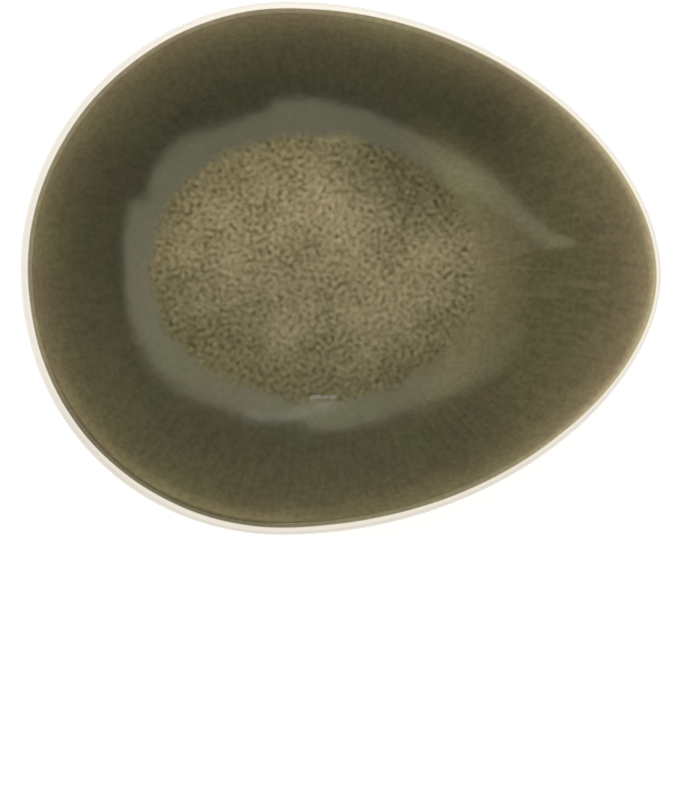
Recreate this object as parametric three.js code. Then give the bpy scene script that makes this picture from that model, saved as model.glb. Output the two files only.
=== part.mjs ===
// Egg-shaped stoneware dip bowl: a fired clay shell on a low foot ring, with ivory glaze outside and
// over the lip, olive glaze on the inner wall, mottled glaze in the well and ivory glaze under the foot.
// Millimetres, +Z up. The origin is on the table, under the middle of the rim's box in plan.
// -X is the blunt end, +X the narrow tip, +Y the back flank and -Y the front flank.

import * as THREE from "three";

// Rim in plan, measured over the glaze
const bowlLength = 112; // blunt end to tip
const bowlWidth = 93; // flank to flank
const widestFromBlunt = 46.5; // blunt end to the widest station
const frontLag = 1.2; // the front flank is widest this much nearer the blunt end
const tipSkew = 1.2; // the tip lies this much towards the front

// Fullness of each quarter of the rim at its two ends: 0.55 is an ellipse, more is boxier
const backQuarters = { blunt: 0.54, bluntShoulder: 0.53, tipShoulder: 0.55, tip: 0.455 };
const frontQuarters = { blunt: 0.615, bluntShoulder: 0.515, tipShoulder: 0.57, tip: 0.44 };

// Rim in side view: level round the blunt end, swelling to a crest on the flanks, then falling to the tip
const bluntRimHeight = 31.8;
const crestRimHeight = 32.2;
const tipRimHeight = 29.7;
const swellFromBlunt = 32; // blunt end to the start of the swell
const crestFromBlunt = 72; // blunt end to the crest

// Foot ring
const footLength = 58.8;
const footWidth = 39;
const footFromBlunt = 52.2; // blunt end to the middle of the foot
const footHeight = 1.6; // table to the crease where the wall starts
const footRound = 0.7; // radius of the ring's lower edges
const footFlat = 2.4; // width of the bare flat that stands on the table
const recessHeight = 1.4; // table to the glazed underside inside the ring

// Walls, measured over the glaze
const lipThickness = 2.6;
const heelThickness = 5.3; // wall at the crease above the foot
const floorThickness = 4.5;
const coveRadius = 18; // inner fillet from the floor to the wall

// Wall curve: each handle as a share of the wall's run and rise
const heelHandle = new THREE.Vector2(0.515, 0.275);
const rimHandle = new THREE.Vector2(0.13, 0.27);

// Coats
const glaze = 0.4; // thickness of every coat
const glazeLine = 0.9; // table to the lower end of the outer coat
const bond = 0.06; // clearance between a coat and what it is fired on to

// Facets
const stations = 60; // sections round the bowl, a multiple of four
const wallSteps = 9;
const lipSteps = 3; // in each half of the lip
const coveSteps = 4;
const roundSteps = 2;
const coveFit = 1e-6; // how closely the top of the cove is found, along the wall from 0 to 1
const nudge = 1e-4; // half the step that a tangent is taken over, along the wall from 0 to 1

const axisX = footFromBlunt - bowlLength / 2;
const floorHeight = recessHeight + floorThickness;
const lipRadius = lipThickness / 2;
const clayDepth = glaze + bond;
const up = Math.PI / 2;

// Plan outline of the lip: four cubic curves between its blunt end, back flank, tip and front flank
function rimOutline() {
  const blunt = new THREE.Vector2(-bowlLength / 2, 0);
  const tip = new THREE.Vector2(bowlLength / 2, -tipSkew);
  const back = new THREE.Vector2(widestFromBlunt - bowlLength / 2, bowlWidth / 2);
  const front = new THREE.Vector2(back.x - frontLag, -bowlWidth / 2);
  const outline = new THREE.CurvePath();
  outline.add(quarter(tip, back, backQuarters.tip, backQuarters.tipShoulder));
  outline.add(quarter(blunt, back, backQuarters.blunt, backQuarters.bluntShoulder, true));
  outline.add(quarter(blunt, front, frontQuarters.blunt, frontQuarters.bluntShoulder));
  outline.add(quarter(tip, front, frontQuarters.tip, frontQuarters.tipShoulder, true));
  return outline;
}

// One quarter, leaving its end square to the length and reaching its flank along the length
function quarter(end, flank, endFullness, flankFullness, fromFlank = false) {
  const endHandle = new THREE.Vector2(end.x, THREE.MathUtils.lerp(end.y, flank.y, endFullness));
  const flankHandle = new THREE.Vector2(THREE.MathUtils.lerp(flank.x, end.x, flankFullness), flank.y);
  return fromFlank
    ? new THREE.CubicBezierCurve(flank, flankHandle, endHandle, end)
    : new THREE.CubicBezierCurve(end, endHandle, flankHandle, flank);
}

// Height of the lip at a distance along the bowl from its blunt end
function rimHeight(fromBlunt) {
  const swell = THREE.MathUtils.smoothstep(fromBlunt, swellFromBlunt, crestFromBlunt);
  const past = Math.max(fromBlunt - crestFromBlunt, 0) / (bowlLength - crestFromBlunt);
  const fall = (crestRimHeight - tipRimHeight) * (1 - Math.cos(past * up));
  return THREE.MathUtils.lerp(bluntRimHeight, crestRimHeight, swell) - fall;
}

// Distance from the foot's axis to its oval outline in a direction
function footReach(direction) {
  return 1 / Math.hypot(direction.x / (footLength / 2), direction.y / (footWidth / 2));
}

const point = (r, z) => new THREE.Vector2(r, z);

// Points on an arc about a centre, both ends included
function arc(centre, radius, from, to, steps) {
  return Array.from({ length: steps + 1 }, (_, i) => {
    const angle = THREE.MathUtils.lerp(from, to, i / steps);
    return point(centre.x + radius * Math.cos(angle), centre.y + radius * Math.sin(angle));
  });
}

// A path moved sideways by a distance, to the left of the way it runs, with mitred corners
function sideways(path, distance) {
  return path.map((here, i) => {
    const before = path[Math.max(i - 1, 0)];
    const after = path[Math.min(i + 1, path.length - 1)];
    const into = i > 0 ? here.clone().sub(before).normalize() : after.clone().sub(here).normalize();
    const out = i < path.length - 1 ? after.clone().sub(here).normalize() : into;
    const along = into.clone().add(out).normalize();
    const mitre = distance / along.dot(into);
    return point(here.x - along.y * mitre, here.y + along.x * mitre);
  });
}

// Normal of a face into the bowl, where the face runs upwards
function inward(face, t) {
  const along = face(t + nudge).sub(face(t - nudge)).normalize();
  return point(-along.y, along.x);
}

// The finished surface in the upright half-plane through the foot's axis and one point of the rim: up
// the outside from the glaze line, over the top of the lip, down to the well's edge and in to the axis
function finishedSection(rimPoint) {
  const fromAxis = point(rimPoint.x - axisX, rimPoint.y);
  const direction = fromAxis.clone().normalize();
  const crease = point(footReach(direction), footHeight);
  const rim = point(fromAxis.length(), rimHeight(rimPoint.x + bowlLength / 2));
  const lipCentre = point(rim.x - lipRadius, rim.y - lipRadius);

  const run = rim.x - crease.x;
  const rise = rim.y - crease.y;
  const rimPull = point(rimHandle.x * run, rimHandle.y * rise);
  const lean = Math.atan2(rimPull.x, rimPull.y);
  const wallTop = point(lipCentre.x + lipRadius * Math.cos(lean), lipCentre.y - lipRadius * Math.sin(lean));
  const heelPull = point(crease.x + heelHandle.x * run, crease.y + heelHandle.y * rise);
  const wall = new THREE.CubicBezierCurve(crease, heelPull, wallTop.clone().sub(rimPull), wallTop);

  // The wall tapers smoothly from the heel to the lip
  const outerWall = (t) => wall.getPoint(t);
  const innerWall = (t) => {
    const taper = THREE.MathUtils.smoothstep(t, 0, 1);
    const thickness = THREE.MathUtils.lerp(heelThickness, lipThickness, taper);
    return outerWall(t).addScaledVector(inward(outerWall, t), thickness);
  };

  // The cove touches the floor and the inner wall: its centre is one radius from each
  const coveGap = (t) => innerWall(t).y + coveRadius * (inward(innerWall, t).y - 1) - floorHeight;
  let coveTop = 0;
  for (let step = 1 / 2; step > coveFit; step /= 2) {
    if (coveGap(coveTop + step) < 0) coveTop += step;
  }
  const coveNormal = inward(innerWall, coveTop);
  const coveCentre = innerWall(coveTop).addScaledVector(coveNormal, coveRadius);
  const coveEnd = Math.atan2(-coveNormal.y, -coveNormal.x);

  const surface = [
    point(crease.x, glazeLine),
    ...wall.getPoints(wallSteps),
    ...arc(lipCentre, lipRadius, 0, up, lipSteps),
  ];
  const lipTop = surface.length - 1;
  surface.push(...arc(lipCentre, lipRadius, up, Math.PI - lean, lipSteps).slice(1));
  for (let i = 1; i <= wallSteps; i++) {
    surface.push(innerWall(THREE.MathUtils.lerp(1, coveTop, i / wallSteps)));
  }
  const wellEdge = surface.length - 1;
  surface.push(...arc(coveCentre, coveRadius, coveEnd, -up, coveSteps).slice(1), point(0, floorHeight));
  return { direction, crease, surface, backs: sideways(surface, glaze), lipTop, wellEdge };
}

const outline = rimOutline().getPoints(stations / 4);
const sections = outline.slice(0, stations).map(finishedSection);

// Sections of the pieces, each running with its material on the left

// The foot ring's clay, from its outer face in to the edge of the recess's flat ceiling
function footRing(crease) {
  const outer = crease.x - clayDepth;
  const inner = outer - 2 * footRound - footFlat;
  return { outer, inner, ceilingEdge: inner - footRound };
}

function claySection({ crease, surface }) {
  const { outer, inner, ceilingEdge } = footRing(crease);
  const ceiling = recessHeight + clayDepth;
  return [
    point(0, ceiling),
    point(ceilingEdge, ceiling),
    ...arc(point(inner + footRound, footRound), footRound, Math.PI, 3 * up, roundSteps),
    ...arc(point(outer - footRound, footRound), footRound, -up, 0, roundSteps),
    ...sideways(surface, clayDepth).slice(1),
  ];
}

// A path with its first point moved on by the clearance, off the end of the coat before it
function eased([first, second, ...rest]) {
  const step = second.clone().sub(first).setLength(bond);
  return [first.clone().add(step), second, ...rest];
}

function outerCoat({ surface, backs, lipTop }) {
  const face = surface.slice(0, lipTop + 1);
  return [...face, ...backs.slice(0, lipTop + 1).reverse(), face[0]];
}

function wallCoat({ surface, backs, lipTop, wellEdge }) {
  const face = eased(surface.slice(lipTop, wellEdge + 1));
  return [...face, ...eased(backs.slice(lipTop, wellEdge + 1)).reverse(), face[0]];
}

function wellCoat({ surface, backs, wellEdge }) {
  return [...eased(backs.slice(wellEdge)).reverse(), ...eased(surface.slice(wellEdge))];
}

function baseCoat({ crease }) {
  const edge = footRing(crease).ceilingEdge - bond;
  const top = recessHeight + glaze;
  return [point(0, recessHeight), point(edge, recessHeight), point(edge, top), point(0, top)];
}

// Turns a section on a lathe, then sets each station's copy to its own outline
function turned(sectionOf) {
  const profiles = sections.map(sectionOf);
  const rows = profiles[0].length;
  const geometry = new THREE.LatheGeometry(profiles[0], stations);
  const place = geometry.getAttribute("position");
  for (let i = 0; i <= stations; i++) {
    const { direction } = sections[i % stations];
    profiles[i % stations].forEach(({ x: r, y: z }, row) => {
      place.setXYZ(i * rows + row, axisX + r * direction.x, r * direction.y, z);
    });
  }
  geometry.computeVertexNormals();
  return geometry;
}

function piece(name, sectionOf, finish) {
  const mesh = new THREE.Mesh(turned(sectionOf), new THREE.MeshStandardMaterial(finish));
  mesh.name = name;
  return mesh;
}

const bareClay = { color: 0xe6dccb, roughness: 0.9, metalness: 0 };
const ivoryGlaze = { color: 0xe3ddd1, roughness: 0.2, metalness: 0 };
const oliveGlaze = { color: 0x58543c, roughness: 0.18, metalness: 0 };
const mottledGlaze = { color: 0x8f8264, roughness: 0.35, metalness: 0 };

const dipBowl = new THREE.Group();
dipBowl.add(
  piece("clay_body", claySection, bareClay),
  piece("outer_glaze", outerCoat, ivoryGlaze),
  piece("wall_glaze", wallCoat, oliveGlaze),
  piece("well_glaze", wellCoat, mottledGlaze),
  piece("base_glaze", baseCoat, ivoryGlaze),
);

export default dipBowl;
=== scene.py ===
import math
import bmesh
import bpy
from mathutils import Matrix, Quaternion, Vector


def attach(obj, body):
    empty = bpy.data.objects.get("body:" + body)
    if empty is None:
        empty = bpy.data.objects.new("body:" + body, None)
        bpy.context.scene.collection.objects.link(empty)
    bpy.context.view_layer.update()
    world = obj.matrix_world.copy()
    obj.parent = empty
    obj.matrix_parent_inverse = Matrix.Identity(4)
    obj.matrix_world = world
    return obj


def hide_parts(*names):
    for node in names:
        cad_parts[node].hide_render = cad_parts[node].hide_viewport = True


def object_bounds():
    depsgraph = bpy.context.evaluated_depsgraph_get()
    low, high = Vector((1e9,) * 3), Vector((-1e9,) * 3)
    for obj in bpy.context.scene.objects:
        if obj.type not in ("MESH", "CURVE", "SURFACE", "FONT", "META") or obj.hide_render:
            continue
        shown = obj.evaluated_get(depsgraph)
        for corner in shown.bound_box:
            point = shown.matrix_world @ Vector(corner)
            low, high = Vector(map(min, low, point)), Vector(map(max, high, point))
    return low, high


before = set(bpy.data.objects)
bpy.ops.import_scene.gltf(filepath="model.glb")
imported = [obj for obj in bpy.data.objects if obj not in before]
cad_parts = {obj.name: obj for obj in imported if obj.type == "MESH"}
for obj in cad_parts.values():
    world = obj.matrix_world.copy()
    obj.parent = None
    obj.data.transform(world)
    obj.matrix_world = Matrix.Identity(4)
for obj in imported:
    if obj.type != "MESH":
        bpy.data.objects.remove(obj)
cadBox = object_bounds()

mm = 0.001
print("frame loaded:", sorted(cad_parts))


# The bowl's form

rim = dict(
    widestFromBlunt=46.5 * mm,
    frontLag=1.2 * mm,  # the front flank is widest this much nearer the blunt end
    tipSkew=1.2 * mm,  # the tip lies this much towards the front
    backFullness=dict(blunt=0.54, bluntShoulder=0.53, tipShoulder=0.55, tip=0.455),
    frontFullness=dict(blunt=0.615, bluntShoulder=0.515, tipShoulder=0.57, tip=0.44),
    bluntHeight=31.8 * mm,
    tipHeight=29.7 * mm,
    swellFromBlunt=32 * mm,
    crestFromBlunt=72 * mm,
)
foot = dict(
    length=58.8 * mm,
    width=39 * mm,
    fromBlunt=52.2 * mm,  # blunt end to the foot's middle
    height=1.6 * mm,
    edgeRound=0.7 * mm,
    flat=2.4 * mm,
    recess=1.4 * mm,
)
wall = dict(
    lip=2.6 * mm,
    heel=5.3 * mm,
    floor=4.5 * mm,
    cove=18 * mm,
    heelHandle=(0.515, 0.275),  # shares of the wall's run and rise
    rimHandle=(0.13, 0.27),
)
coat = dict(thickness=0.4 * mm, line=0.9 * mm, bond=0.06 * mm)
facets = dict(
    stations=240,
    wall=56,
    lip=8,
    cove=36,
    floor=6,
    roundEdge=4,
    coveSearch=20,
    nudge=0.001,  # to either side along the wall, for its normal
    weld=0.001 * mm,
    sharpFrom=40,  # degrees
)

bowlLength, bowlWidth, bowlHeight = cadBox[1] - cadBox[0]
bluntX = cadBox[0].x
axisX = bluntX + foot["fromBlunt"]
lipRadius = wall["lip"] / 2
floorHeight = foot["recess"] + wall["floor"]


def mixed(a, b, share):
    return a + (b - a) * share


def eased(share):
    share = min(max(share, 0), 1)
    return share * share * (3 - 2 * share)


def bezier(knots, share):
    while len(knots) > 1:
        knots = [mixed(a, b, share) for a, b in zip(knots, knots[1:])]
    return knots[0]


def curvePoints(knots, steps):
    return [bezier(knots, i / steps) for i in range(steps + 1)]


def arcPoints(centre, radius, start, end, steps):
    turns = [mixed(start, end, i / steps) for i in range(steps + 1)]
    return [centre + radius * Vector((math.cos(t), math.sin(t))) for t in turns]


def rimQuarter(end, flank, endFullness, flankFullness):
    endPull = Vector((end.x, mixed(end.y, flank.y, endFullness)))
    flankPull = Vector((mixed(flank.x, end.x, flankFullness), flank.y))
    return curvePoints([end, endPull, flankPull, flank], facets["stations"] // 4)


def rimOutline():
    blunt = Vector((bluntX, 0))
    tip = Vector((bluntX + bowlLength, -rim["tipSkew"]))
    back = Vector((bluntX + rim["widestFromBlunt"], bowlWidth / 2))
    front = Vector((back.x - rim["frontLag"], -bowlWidth / 2))
    b, f = rim["backFullness"], rim["frontFullness"]
    quarters = [
        rimQuarter(tip, back, b["tip"], b["tipShoulder"]),
        rimQuarter(blunt, back, b["blunt"], b["bluntShoulder"])[::-1],
        rimQuarter(blunt, front, f["blunt"], f["bluntShoulder"]),
        rimQuarter(tip, front, f["tip"], f["tipShoulder"])[::-1],
    ]
    return [point for quarter in quarters for point in quarter[:-1]]


def rimHeight(fromBlunt):
    swell = eased((fromBlunt - rim["swellFromBlunt"]) / (rim["crestFromBlunt"] - rim["swellFromBlunt"]))
    past = max(fromBlunt - rim["crestFromBlunt"], 0) / (bowlLength - rim["crestFromBlunt"])
    fall = (bowlHeight - rim["tipHeight"]) * (1 - math.cos(past * math.pi / 2))
    return mixed(rim["bluntHeight"], bowlHeight, swell) - fall


# The normal into the bowl of a face that runs up along a slope
def inward(slope):
    return Vector((-slope.y, slope.x)).normalized()


# The finished surface in one upright half-plane through the foot's axis: up the outside, over the lip,
# down the inside and in to the axis
def finishedSection(rimPoint):
    fromAxis = rimPoint - Vector((axisX, 0))
    heading = fromAxis.normalized()
    reach = 1 / math.hypot(heading.x * 2 / foot["length"], heading.y * 2 / foot["width"])
    crease = Vector((reach, foot["height"]))
    top = Vector((fromAxis.length, rimHeight(rimPoint.x - bluntX)))
    lipCentre = top - Vector((lipRadius, lipRadius))
    span = top - crease
    rimPull = Vector((span.x * wall["rimHandle"][0], span.y * wall["rimHandle"][1]))
    heelPull = Vector((span.x * wall["heelHandle"][0], span.y * wall["heelHandle"][1]))
    lean = math.atan2(rimPull.x, rimPull.y)
    wallTop = lipCentre + lipRadius * Vector((math.cos(lean), -math.sin(lean)))
    knots = [crease, crease + heelPull, wallTop - rimPull, wallTop]
    slopes = [b - a for a, b in zip(knots, knots[1:])]

    def innerWall(t):
        return bezier(knots, t) + inward(bezier(slopes, t)) * mixed(wall["heel"], wall["lip"], eased(t))

    def innerNormal(t):
        return inward(innerWall(t + facets["nudge"]) - innerWall(t - facets["nudge"]))

    coveTop, step = 0, 0.5  # the cove touches the floor and the inner wall
    for _ in range(facets["coveSearch"]):
        t = coveTop + step
        if innerWall(t).y + wall["cove"] * (innerNormal(t).y - 1) < floorHeight:
            coveTop = t
        step /= 2
    coveNormal = innerNormal(coveTop)
    coveCentre = innerWall(coveTop) + coveNormal * wall["cove"]
    coveTurn = math.atan2(-coveNormal.y, -coveNormal.x)

    up = math.pi / 2
    outside = [Vector((reach, coat["line"]))] + curvePoints(knots, facets["wall"])
    outside += arcPoints(lipCentre, lipRadius, -lean, up, facets["lip"])[1:]
    inside = arcPoints(lipCentre, lipRadius, up, math.pi - lean, facets["lip"])[1:]
    shares = [i / facets["wall"] for i in range(1, facets["wall"] + 1)]
    inside += [innerWall(mixed(1, coveTop, share)) for share in shares]
    well = arcPoints(coveCentre, wall["cove"], coveTurn, -up, facets["cove"])[1:]
    edge = well[-1].x
    well += [Vector((edge * (1 - i / facets["floor"]), floorHeight)) for i in range(1, facets["floor"] + 1)]
    surface = outside + inside + well
    lipTop = len(outside) - 1
    return dict(
        heading=heading,
        reach=reach,
        surface=surface,
        lipTop=lipTop,
        wellEdge=lipTop + len(inside),
        fromLip=runAlong(surface, lipTop),
    )


# Distance along a section from one of its points
def runAlong(path, start):
    run = [0]
    for a, b in zip(path, path[1:]):
        run.append(run[-1] + (b - a).length)
    return [x - run[start] for x in run]


# A section moved into the clay by a distance, with mitred corners
def sideways(path, distance):
    steps = [(b - a).normalized() for a, b in zip(path, path[1:])]
    moved = []
    for i, point in enumerate(path):
        into = steps[max(i - 1, 0)]
        out = steps[min(i, len(steps) - 1)]
        along = (into + out).normalized()
        moved.append(point + Vector((-along.y, along.x)) * distance / along.dot(into))
    return moved


sections = [finishedSection(point) for point in rimOutline()]
for one in sections:
    one["backs"] = sideways(one["surface"], coat["thickness"])
print("sections worked out:", len(sections))


def claySection(one):
    depth = coat["thickness"] + coat["bond"]
    r = foot["edgeRound"]
    outer = one["reach"] - depth
    inner = outer - 2 * r - foot["flat"]
    ceiling = foot["recess"] + depth
    up = math.pi / 2
    path = [Vector((0, ceiling)), Vector((inner - r, ceiling))]
    path += arcPoints(Vector((inner + r, r)), r, math.pi, 3 * up, facets["roundEdge"])
    path += arcPoints(Vector((outer - r, r)), r, -up, 0, facets["roundEdge"])
    return path + sideways(one["surface"], depth)[1:]


def outerSection(one):
    end = one["lipTop"] + 1
    return one["surface"][:end] + one["backs"][:end][::-1]


def wallSection(one):
    first, end = one["lipTop"], one["wellEdge"] + 1
    return one["surface"][first:end] + one["backs"][first:end][::-1]


def wellSection(one):
    return one["backs"][one["wellEdge"]:][::-1] + one["surface"][one["wellEdge"]:]


def baseSection(one):
    edge = one["reach"] - 2 * coat["bond"] - coat["thickness"] - 3 * foot["edgeRound"] - foot["flat"]
    low, high = foot["recess"], foot["recess"] + coat["thickness"]
    return [Vector((0, low)), Vector((edge, low)), Vector((edge, high)), Vector((0, high))]


# Each point's distance from the top of the lip, in the order of its section

def outerRuns(one):
    run = one["fromLip"][:one["lipTop"] + 1]
    return run + run[::-1]


def wallRuns(one):
    run = one["fromLip"][one["lipTop"]:one["wellEdge"] + 1]
    return run + run[::-1]


def wellRuns(one):
    run = one["fromLip"][one["wellEdge"]:]
    return run[::-1] + run


def baseRuns(one):
    return [-bowlHeight] * len(baseSection(one))  # far from the lip


# A section is spun into a round blank, then every point goes to its own place on the egg
def thrown(name, sectionOf, closed=False, runsOf=None):
    paths = [sectionOf(one) for one in sections]
    runs = [runsOf(one) for one in sections] if runsOf else None
    turn = 2 * math.pi / len(sections)
    bm = bmesh.new()
    blank = [bm.verts.new((row + 1, 0, 0)) for row in range(len(paths[0]))]
    edges = [bm.edges.new(pair) for pair in zip(blank, blank[1:])]
    if closed:
        edges.append(bm.edges.new((blank[-1], blank[0])))
    bmesh.ops.spin(
        bm,
        geom=blank + edges,
        cent=(0, 0, 0),
        axis=(0, 0, 1),
        angle=2 * math.pi,
        steps=len(sections),
        use_merge=True,
    )
    lipRun = bm.verts.layers.float.new("fromLip") if runs else None
    for vert in bm.verts:
        row = round(vert.co.length) - 1
        station = round(math.atan2(vert.co.y, vert.co.x) / turn) % len(sections)
        place, heading = paths[station][row], sections[station]["heading"]
        vert.co = (axisX + place.x * heading.x, place.x * heading.y, place.y)
        if runs:
            vert[lipRun] = runs[station][row]
    bmesh.ops.remove_doubles(bm, verts=bm.verts, dist=facets["weld"])
    bmesh.ops.recalc_face_normals(bm, faces=bm.faces)
    mesh = bpy.data.meshes.new(name)
    bm.to_mesh(mesh)
    bm.free()
    mesh.shade_smooth()
    mesh.set_sharp_from_angle(angle=math.radians(facets["sharpFrom"]))
    piece = bpy.data.objects.new(name, mesh)
    bpy.context.collection.objects.link(piece)
    print("made", name, len(mesh.polygons), "faces")
    return piece


# Finishes

# One socket of a material, so that shader sums read as plain Python
class Wire:
    def __init__(self, tree, socket=None):
        self.tree = tree
        self.socket = socket

    def node(self, kind, settings=None, inputs=None, output=0):
        made = self.tree.nodes.new("ShaderNode" + kind)
        for name, value in (settings or {}).items():
            setattr(made, name, value)
        for name, value in (inputs or {}).items():
            if isinstance(value, Wire):
                self.tree.links.new(value.socket, made.inputs[name])
            else:
                made.inputs[name].default_value = value
        return Wire(self.tree, made.outputs[output] if made.outputs else None)

    def sum(self, operation, first, second):
        return self.node("Math", {"operation": operation}, {0: first, 1: second})

    def __add__(self, other):
        return self.sum("ADD", self, other)

    def __radd__(self, other):
        return self.sum("ADD", other, self)

    def __sub__(self, other):
        return self.sum("SUBTRACT", self, other)

    def __rsub__(self, other):
        return self.sum("SUBTRACT", other, self)

    def __mul__(self, other):
        return self.sum("MULTIPLY", self, other)

    def __rmul__(self, other):
        return self.sum("MULTIPLY", other, self)

    def __truediv__(self, other):
        return self.sum("DIVIDE", self, other)

    def __pow__(self, other):
        return self.sum("POWER", self, other)

    def __rpow__(self, other):
        return self.sum("POWER", other, self)

    def __abs__(self):
        return self.node("Math", {"operation": "ABSOLUTE"}, {0: self})

    # 0 up to low and 1 from high on, with a soft step between; low may be the greater
    def step(self, low, high):
        settings = {"interpolation_type": "SMOOTHSTEP"}
        return self.node("MapRange", settings, {"Value": self, "From Min": low, "From Max": high})

    # this value as the share of a second colour over a first
    def tint(self, first, second):
        return self.node("Mix", {"data_type": "RGBA"}, {0: self, 6: first, 7: second}, 2)

    # this colour times another
    def times(self, other):
        settings = {"data_type": "RGBA", "blend_type": "MULTIPLY"}
        return self.node("Mix", settings, {0: 1.0, 6: self, 7: other}, 2)

    # one coordinate of this place
    def part(self, axis):
        return self.node("SeparateXYZ", None, {"Vector": self}, axis)

    def vector(self, operation, inputs, output=0):
        return self.node("VectorMath", {"operation": operation}, inputs, output)

    # distance from a centre, with each coordinate scaled first
    def distance(self, centre, scales):
        away = self.vector("SUBTRACT", {0: self, 1: centre})
        scaled = self.vector("MULTIPLY", {0: away, 1: scales})
        return self.vector("LENGTH", {0: scaled}, "Value")

    def noise(self, scale, detail):
        return self.node("TexNoise", None, {"Vector": self, "Scale": scale, "Detail": detail})

    # this value as a relief
    def bump(self, strength, depth):
        return self.node("Bump", None, {"Strength": strength, "Distance": depth, "Height": self})

    # this value read along a curve through points, all between 0 and 1
    def curve(self, points):
        read = self.node("FloatCurve", None, {"Value": self})
        mapping = read.socket.node.mapping
        line = mapping.curves[0].points
        line[0].location, line[1].location = points[0], points[-1]
        for x, y in points[1:-1]:
            line.new(x, y)
        mapping.update()
        return read


# A screen colour, 0 to 255, in linear light
def paint(red, green, blue):
    parts = [x / 255 for x in (red, green, blue)]
    linear = [x / 12.92 if x <= 0.04045 else ((x + 0.055) / 1.055) ** 2.4 for x in parts]
    return (*linear, 1.0)


def newFinish(name):
    finish = bpy.data.materials.new(name)
    finish.use_nodes = True
    tree = finish.node_tree
    tree.nodes.clear()
    return finish, Wire(tree)


def oneShader(wire, inputs):
    wire.node("OutputMaterial", None, {"Surface": wire.node("BsdfPrincipled", None, inputs)})


white = (1.0, 1.0, 1.0, 1.0)

# In the finishes below, a pair such as paintedLightBackToFront gives where a soft step starts and ends.
# Lengths with
# no unit are in mm: along the bowl to its tip, across it to the back, or inwards from the lip's top.
# Noises give their scale per metre and their detail.

# The cream lip, whose end lies further in at the blunt end and the front. Its colour is painted light:
# lighter than the ivory where the lip faces up to the light, with painted shade darkening it towards the
# front
cream = dict(
    # painted light: the lip's top lighter than the ivory at the back, and painted shade at the front
    back=paint(236, 230, 219),
    front=paint(225, 218, 206),
    paintedLightBackToFront=(-10, -36),
    start=(-2.2, -0.9),  # on the outside
    end=-0.05,
    endFront=0.12,  # further in at the front
    endToFront=(-14, -40),
    endTip=-0.07,
    endToTip=(15, 45),
    endSlope=-0.0037,  # for each mm along
    waver=(45, 2),
    waverWidth=0.45,
    blur=(-0.12, 0.14),
)


# The lip's colour with painted light on it: lighter than the ivory glaze, and darker towards the front as
# painted shade
def lipWithPaintedLight(place):
    across = place.part("Y") / mm
    return across.step(*cream["paintedLightBackToFront"]).tint(cream["back"], cream["front"])


# 0 on the cream lip and 1 past its end
def pastCream(place, fromLip):
    along = place.part("X") / mm
    across = place.part("Y") / mm
    end = across.step(*cream["endToFront"]) * cream["endFront"] + cream["end"]
    end = end + along * cream["endSlope"] + along.step(*cream["endToTip"]) * cream["endTip"]
    end = end + (place.noise(*cream["waver"]) - 0.5) * cream["waverWidth"]
    return (fromLip / mm - end).step(*cream["blur"])


ivory = dict(
    body=paint(224, 219, 210),
    warm=paint(228, 219, 203),
    cool=paint(217, 214, 208),
    drift=(40, 3),
    coolToWarm=(0.35, 0.7),
    clouds=(260, 2),
    driftToBody=(0.2, 0.8),
    peel=(120, 1),
    peelStrength=0.06,
    peelDepth=0.4 * mm,
    roughness=0.3,
    coatRoughness=0.06,
)


def ivoryGlaze():
    finish, wire = newFinish("ivoryGlaze")
    place = wire.node("TexCoord", output="Object")
    fromLip = wire.node("Attribute", {"attribute_name": "fromLip"}, output="Fac")
    warmth = place.noise(*ivory["drift"]).step(*ivory["coolToWarm"]).tint(ivory["cool"], ivory["warm"])
    colour = place.noise(*ivory["clouds"]).step(*ivory["driftToBody"]).tint(warmth, ivory["body"])
    # the lip's top painted lighter than the ivory, as if lit from above, and painted shade at the front
    colour = (fromLip / mm).step(*cream["start"]).tint(colour, lipWithPaintedLight(place))
    colour = pastCream(place, fromLip).tint(colour, olive["breakingTip"])
    oneShader(wire, {
        "Base Color": colour,
        "Roughness": ivory["roughness"],
        "Coat Weight": 1.0,
        "Coat Roughness": ivory["coatRoughness"],
        "Normal": place.noise(*ivory["peel"]).bump(ivory["peelStrength"], ivory["peelDepth"]),
    })
    return finish


clay = dict(
    body=paint(229, 219, 201),
    dark=paint(205, 190, 165),
    grain=(2200, 2),
    clouds=(300, 4),
    cloudShare=0.6,
    darkToBody=(0.35, 0.65),
    grainStrength=0.3,
    grainDepth=0.2 * mm,
    roughness=0.9,
)


def bareClay():
    finish, wire = newFinish("bareClay")
    place = wire.node("TexCoord", output="Object")
    grain = place.noise(*clay["grain"])
    shade = place.noise(*clay["clouds"]) * clay["cloudShare"] + grain * (1 - clay["cloudShare"])
    oneShader(wire, {
        "Base Color": shade.step(*clay["darkToBody"]).tint(clay["dark"], clay["body"]),
        "Roughness": clay["roughness"],
        "Normal": grain.bump(clay["grainStrength"], clay["grainDepth"]),
    })
    return finish


# Deep olive on the wall, paler to the front and the tip, partly the glaze's own tone and partly painted
# light from the back, breaking to tan at the lip
olive = dict(
    # darkest on the back wall, partly as painted shade; paler at the front and the tip, partly as painted
    # light
    back=paint(61, 60, 45),
    front=paint(76, 74, 55),
    tip=paint(90, 85, 60),
    paintedLightBackToFront=(14, -22),
    toTip=(20, 52),
    tipLean=-0.1,  # how far it leans for each mm across
    tipRagged=20,
    nose=(0, 30),  # a paler wedge that opens towards the tip
    noseMiddle=-4,
    noseNarrowing=0.7,
    breaking=paint(145, 133, 101),
    breakingFront=paint(130, 119, 89),
    breakingTip=paint(156, 142, 111),
    breakingToFront=(-14, -34),
    spread=4.1,  # down the wall, in which the breaking halves
    spreadFront=3.8,
    spreadTip=4.0,
    spreadByRuns=4,
    spreadByPatches=5,
    runs=(42, 6),  # scale, and how fast they change down the wall
    patches=(70, 2),
    roughness=0.1,
    refraction=1.6,
    uneven=(100, 2),
    unevenDepth=0.05 * mm,
)
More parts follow.
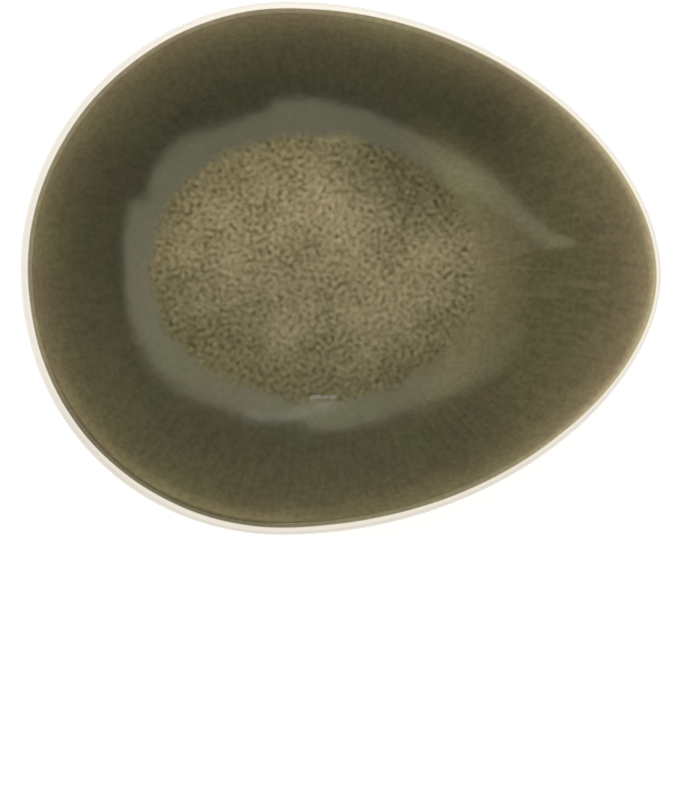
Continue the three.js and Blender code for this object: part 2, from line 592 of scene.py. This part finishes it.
# A brown line close under the lip, and below it, in the front corner of the blunt end, a paler strip that
# is a painted highlight
lipLine = dict(
    brown=(0.12, 0.1, 0.08, 1),
    end=(0.6, 1.7),
    strength=0.35,
    strengthCorner=0.32,  # more in the corner
    corner=(-42, -56),
    cornerLean=0.6,
    # painted highlight: the pale strip below the brown line
    paintedHighlight=(1.32, 1.3, 1.3, 1),
    paintedHighlightStart=(1.2, 2),
    paintedHighlightEnd=(2.2, 6),
)
# A paler apron beside the pool on the tip's side, with a few wandering lines that are painted reflection
# streaks
apron = dict(
    colour=paint(121, 113, 82),
    end=(0.95, 1.38),  # in shares of the pool's radii
    start=(8, 24),
    # painted reflection: brighter streaks fanning out towards the tip
    reflectionStreaks=(1.16, 1.16, 1.18, 1),
    lineRuns=(9, 4),
    lineWidth=0.05,
    fan=(12, 32),
    fanNarrowing=1.6,
    fanStart=(6, 14),
)
# Grain, fine runs and drifts of hue on the wall
wallGrain = dict(
    green=(0.98, 1.025, 0.91, 1),
    brown=(1.05, 0.97, 0.99, 1),
    hues=(70, 4),
    greenToBrown=(0.3, 0.7),
    apronGreen=0.12,
    dark=(0.77, 0.77, 0.77, 1),
    light=(1.23, 1.23, 1.23, 1),
    darkToLight=(0.25, 0.75),
    fine=(1000, 2),
    fineShare=0.5,
    runShare=0.5,
    runFade=0.3,
    runFading=(16, 26),
)
# The mottled pool: soft dark flecks in a pale net, dimmer round its margin
pool = dict(
    light=paint(164, 150, 117),
    middle=paint(136, 124, 92),
    fleck=paint(97, 87, 55),
    fleckToMiddle=(0.25, 0.55),
    middleToLight=(0.45, 0.8),
    worms=540,
    wormsPerCell=1.25,
    wormShare=0.55,
    crumbs=(830, 1),
    clouds=(130, 1),
    cloudShare=0.3,
    dim=(0.7, 0.72, 0.69, 1),
    lit=(1.17, 1.16, 1.17, 1),
    dimToLit=(-22, 16),
    litRagged=30,
    shadowed=(12.0 * mm, 17.0 * mm, 5.0 * mm),  # the middle of a darker patch
    shadowEdge=(4, 18),
    margin=(0.76, 0.78, 0.72, 1),
    toMargin=(0.45, 1),  # in shares of the radii
    centre=(-5.0 * mm, 0.0, 0.0),
    radii=(30.9 * mm, 25.0 * mm),
    edge=(0.93, 1.02),
    edgeWaver=(220, 2),
    edgeWaverWidth=0.12,
    roughness=0.45,
    specular=0.15,
    coatWeight=0.12,
)


# Runs down the wall: noise drawn out along the fall line
def furRuns(place, fromLip, scale, change):
    outward = place.vector("SUBTRACT", {0: place, 1: (axisX, 0.0, 0.0)})
    flat = place.vector("MULTIPLY", {0: outward, 1: (1.0, 1.0, 0.0)})
    heading = place.vector("NORMALIZE", {0: flat})
    drop = place.node("CombineXYZ", None, {"Z": fromLip * change})
    return place.vector("ADD", {0: heading, 1: drop}).noise(scale, 1)


def wallColour(place, fromLip, patches, poolShare):
    along = place.part("X") / mm
    across = place.part("Y") / mm
    under = fromLip / mm
    runs = furRuns(place, fromLip, *olive["runs"])

    # paler to the front and the tip: partly the glaze's own tone, partly painted light; the back wall
    # darker as painted shade
    front = across.step(*olive["paintedLightBackToFront"])
    tip = (along + across * olive["tipLean"] + (patches - 0.5) * olive["tipRagged"]).step(*olive["toTip"])
    nose = (along - abs(across - olive["noseMiddle"]) * olive["noseNarrowing"]).step(*olive["nose"])
    deep = nose.tint(front.tint(olive["back"], olive["front"]), olive["tip"])
    breaking = across.step(*olive["breakingToFront"]).tint(olive["breaking"], olive["breakingFront"])
    breaking = tip.tint(breaking, olive["breakingTip"])
    spread = olive["spread"] + front * (olive["spreadFront"] - olive["spread"])
    spread = spread + tip * (olive["spreadTip"] - olive["spread"])
    drop = under + (runs - 0.5) * olive["spreadByRuns"] + (patches - 0.5) * olive["spreadByPatches"]
    colour = (0.5 ** (drop / spread)).tint(deep, breaking)

    corner = (along * lipLine["cornerLean"] + across).step(*lipLine["corner"])
    strength = lipLine["strength"] + corner * lipLine["strengthCorner"]
    line = (1 - under.step(*lipLine["end"])) * (1 - tip) * strength
    colour = colour.times(line.tint(white, lipLine["brown"]))
    # painted highlight: a pale strip in the corner below the brown line
    paintedHighlight = corner * under.step(*lipLine["paintedHighlightStart"]) * (1 - under.step(*lipLine["paintedHighlightEnd"]))
    colour = colour.times(paintedHighlight.tint(white, lipLine["paintedHighlight"]))

    beside = (1 - poolShare.step(*apron["end"])) * along.step(*apron["start"])
    colour = beside.tint(colour, apron["colour"])
    # painted reflection streaks, in a fan that opens towards the tip
    fan = (along - abs(across) * apron["fanNarrowing"]).step(*apron["fan"]) * under.step(*apron["fanStart"])
    strands = abs(furRuns(place, fromLip, *apron["lineRuns"]) - 0.5) / apron["lineWidth"]
    paintedStreaks = 1 - strands.step(0, 1)
    colour = colour.times((paintedStreaks * fan).tint(white, apron["reflectionStreaks"]))

    hue = place.noise(*wallGrain["hues"]) - beside * wallGrain["apronGreen"]
    hue = hue.step(*wallGrain["greenToBrown"]).tint(wallGrain["green"], wallGrain["brown"])
    colour = colour.times(hue)
    runShare = wallGrain["runShare"] - under.step(*wallGrain["runFading"]) * wallGrain["runFade"]
    shade = 0.5 + (runs - 0.5) * runShare + (place.noise(*wallGrain["fine"]) - 0.5) * wallGrain["fineShare"]
    colour = colour.times(shade.step(*wallGrain["darkToLight"]).tint(wallGrain["dark"], wallGrain["light"]))
    # above the glaze line, the lip with its painted light and painted shade
    return pastCream(place, fromLip).tint(lipWithPaintedLight(place), colour)


def poolColour(place, patches, poolShare):
    across = place.part("Y") / mm
    worms = place.node("TexGabor", {"gabor_type": "2D"}, {
        "Vector": place,
        "Scale": pool["worms"],
        "Frequency": pool["wormsPerCell"],
        "Anisotropy": 0.0,
    })
    net = worms * pool["wormShare"] + place.noise(*pool["crumbs"]) * (1 - pool["wormShare"])
    net = net + (place.noise(*pool["clouds"]) - 0.5) * pool["cloudShare"]
    colour = net.step(*pool["fleckToMiddle"]).tint(pool["fleck"], pool["middle"])
    colour = net.step(*pool["middleToLight"]).tint(colour, pool["light"])
    lit = (across + (patches - 0.5) * pool["litRagged"]).step(*pool["dimToLit"])
    lit = lit * (place.distance(pool["shadowed"], (1.0, 1.0, 0.0)) / mm).step(*pool["shadowEdge"])
    colour = colour.times(lit.tint(pool["dim"], pool["lit"]))
    return colour.times(poolShare.step(*pool["toMargin"]).tint(white, pool["margin"]))


# One glaze fired two ways, a little uneven all over: glossy on the wall, satin where it pooled
def reactiveGlaze():
    finish, wire = newFinish("reactiveGlaze")
    place = wire.node("TexCoord", output="Object")
    fromLip = wire.node("Attribute", {"attribute_name": "fromLip"}, output="Fac")
    patches = place.noise(*olive["patches"])
    poolShare = place.distance(pool["centre"], (1 / pool["radii"][0], 1 / pool["radii"][1], 0.0))
    uneven = place.noise(*olive["uneven"]).bump(1.0, olive["unevenDepth"])
    glossy = wire.node("BsdfPrincipled", None, {
        "Base Color": wallColour(place, fromLip, patches, poolShare),
        "Roughness": olive["roughness"],
        "IOR": olive["refraction"],
        "Normal": uneven,
    })
    satin = wire.node("BsdfPrincipled", None, {
        "Base Color": poolColour(place, patches, poolShare),
        "Roughness": pool["roughness"],
        "Specular IOR Level": pool["specular"],
        "Coat Weight": pool["coatWeight"],
        "Normal": uneven,
    })
    waver = (place.noise(*pool["edgeWaver"]) - 0.5) * pool["edgeWaverWidth"]
    inPool = 1 - (poolShare + waver).step(*pool["edge"])
    both = wire.node("MixShader", None, {0: inPool, 1: glossy, 2: satin})
    wire.node("OutputMaterial", None, {"Surface": both})
    return finish


# The five pieces

ivoryFinish = ivoryGlaze()
reactiveFinish = reactiveGlaze()


def dress(piece, finish, node):
    piece.data.materials.append(finish)
    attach(piece, "root")
    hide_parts(node)


footClay = thrown("footClay", claySection)
dress(footClay, bareClay(), "clay_body")
ivoryCoat = thrown("ivoryCoat", outerSection, closed=True, runsOf=outerRuns)
dress(ivoryCoat, ivoryFinish, "outer_glaze")
oliveCoat = thrown("oliveCoat", wallSection, closed=True, runsOf=wallRuns)
dress(oliveCoat, reactiveFinish, "wall_glaze")
mottledPool = thrown("mottledPool", wellSection, runsOf=wellRuns)
dress(mottledPool, reactiveFinish, "well_glaze")
baseCoat = thrown("baseCoat", baseSection, runsOf=baseRuns)
dress(baseCoat, ivoryFinish, "base_glaze")


# Studio, in metres

# Pixels of the photograph: its frame, and the bowl seen from above
photo = dict(width=680, height=793, left=21.2, right=661.9, top=1.3, bottom=534.9)
viewpoint = dict(height=450 * mm, sensor=36.0, near=0.01, far=50)


def placeCamera():
    data = bpy.data.cameras.new("camera")
    camera = bpy.data.objects.new("camera", data)
    bpy.context.collection.objects.link(camera)
    bpy.context.scene.camera = camera
    widestAt = (rim["bluntHeight"] + rim["tipHeight"]) / 2 - lipRadius
    distance = viewpoint["height"] - widestAt
    pixelsPerMetre = (photo["right"] - photo["left"]) / bowlLength
    data.sensor_width = viewpoint["sensor"]
    data.lens = viewpoint["sensor"] * pixelsPerMetre * distance / photo["height"]
    data.shift_x = (photo["width"] - photo["left"] - photo["right"]) / 2 / photo["height"]
    data.shift_y = (photo["top"] + photo["bottom"] - photo["height"]) / 2 / photo["height"]
    data.clip_start, data.clip_end = viewpoint["near"], viewpoint["far"]
    middle = (cadBox[0] + cadBox[1]) / 2
    camera.location = (middle.x, middle.y, viewpoint["height"])


# The paper under the bowl: white to the camera, and a little fill light for the rest
paper = dict(
    radius=4,
    segments=96,
    drop=0.05 * mm,  # below the foot
    colour=paint(232, 231, 229),
    glow=(0.2, 0.2, 0.195, 1),
    seenGlow=(0.18, 0.18, 0.18, 1),
    roughness=0.9,
)


def layFloor():
    bm = bmesh.new()
    bmesh.ops.create_circle(
        bm,
        cap_ends=True,
        segments=paper["segments"],
        radius=paper["radius"],
        matrix=Matrix.Translation((0, 0, -paper["drop"])),
    )
    mesh = bpy.data.meshes.new("floor")
    bm.to_mesh(mesh)
    bm.free()
    floor = bpy.data.objects.new("floor", mesh)
    bpy.context.collection.objects.link(floor)
    finish, wire = newFinish("floorPaper")
    seen = wire.node("LightPath", output="Is Camera Ray")
    oneShader(wire, {
        "Base Color": seen.tint(paper["colour"], white),
        "Roughness": paper["roughness"],
        "Specular IOR Level": 0.0,
        "Emission Color": seen.tint(paper["glow"], paper["seenGlow"]),
        "Emission Strength": 1.0,
    })
    mesh.materials.append(finish)


# Lamps aim at the origin; roll is in degrees and power in watts
lamps = dict(
    softBox=dict(place=(-0.5, 0.7, 1.6), size=(2, 2), power=8, mirrored=False),
    strip=dict(place=(-0.066, 0.89, 0.404), size=(0.076, 0.009), power=0.045, roll=-24),
    seam=dict(place=(0.1, 0.895, 0.384), size=(0.26, 0.006), power=0.027, roll=-4),
)


def addLamp(name, place, size, power, roll=0.0, mirrored=True):
    data = bpy.data.lights.new(name, "AREA")
    data.shape, data.size, data.size_y, data.energy = "RECTANGLE", size[0], size[1], power
    lamp = bpy.data.objects.new(name, data)
    bpy.context.collection.objects.link(lamp)
    lamp.visible_glossy = mirrored
    lamp.location = place
    lamp.rotation_mode = "QUATERNION"
    aim = (-Vector(place)).to_track_quat("-Z", "Y")
    lamp.rotation_quaternion = aim @ Quaternion((0, 0, 1), math.radians(roll))


# A light tent, dark below where its wall ends and dimmer high up beyond the blunt end. Apart from its
# ends, pairs give where a soft step starts and ends in a direction's x, y or z.
tent = dict(
    level=0.9,  # light that isn't mirrored
    seenLevel=1.0,
    darkLevel=0.1,  # mirrored, below the wall's end
    wallLevel=1.485,  # added above it
    tipLevel=0.225,  # added again towards the tip
    toTip=(0.4, 0.9),
    colour=(1, 0.98, 0.67, 1),
    blur=(-0.015, 0.015),
    roof=dict(x=(-0.3, -0.42), height=0.21, slope=0.31, blur=(-0.03, 0.04), dim=0.85),
    corners=[
        dict(x=(-0.1, -0.65), y=(-0.2, 0.4), dim=0.7),
        dict(x=(0, -0.5), y=(0.2, -0.3), dim=0.18),
    ],
    # headings in degrees from the tip's side, and heights in degrees above the table's level
    ends=[
        (-180, 40), (-167, 36), (-162, 20), (-156, 23.5), (-112, 14.5), (-84, 17), (-79, 20), (-44, 14),
        (-35, 14.5), (-30, 12), (-7, 12.5), (20, 13.5), (45, 17), (77, 22), (90, 20.5), (94, 16.5),
        (112, 14), (137, 21), (165, 38), (180, 40),
    ],
)


def lightTent():
    world = bpy.data.worlds.new("tent")
    bpy.context.scene.world = world
    world.use_nodes = True
    world.node_tree.nodes.clear()
    wire = Wire(world.node_tree)
    direction = wire.node("TexCoord", output="Generated")
    x, y, z = (direction.part(axis) for axis in "XYZ")
    heading = wire.sum("ARCTAN2", y, x) / (2 * math.pi) + 0.5
    points = [(turn / 360 + 0.5, math.sin(math.radians(height))) for turn, height in tent["ends"]]
    bright = (z - heading.curve(points)).step(*tent["blur"])
    roof = tent["roof"]
    overRoof = (z + x * roof["slope"] - roof["height"]).step(*roof["blur"])
    bright = bright * (1 - x.step(*roof["x"]) * overRoof * roof["dim"])
    for corner in tent["corners"]:
        bright = bright * (1 - x.step(*corner["x"]) * y.step(*corner["y"]) * corner["dim"])
    bright = bright * (tent["wallLevel"] + x.step(*tent["toTip"]) * tent["tipLevel"])
    seen = wire.node("LightPath", output="Is Camera Ray")
    mirrored = wire.node("LightPath", output="Is Glossy Ray")
    strength = tent["level"] + seen * (tent["seenLevel"] - tent["level"])
    strength = strength + mirrored * (bright + (tent["darkLevel"] - tent["level"]))
    colour = mirrored.tint(white, tent["colour"])
    light = wire.node("Background", None, {"Color": colour, "Strength": strength})
    wire.node("OutputWorld", None, {"Surface": light})


placeCamera()
layFloor()
lightTent()
for name, lamp in lamps.items():
    addLamp(name, **lamp)
bpy.context.scene.view_settings.view_transform = "Standard"
print("studio set")
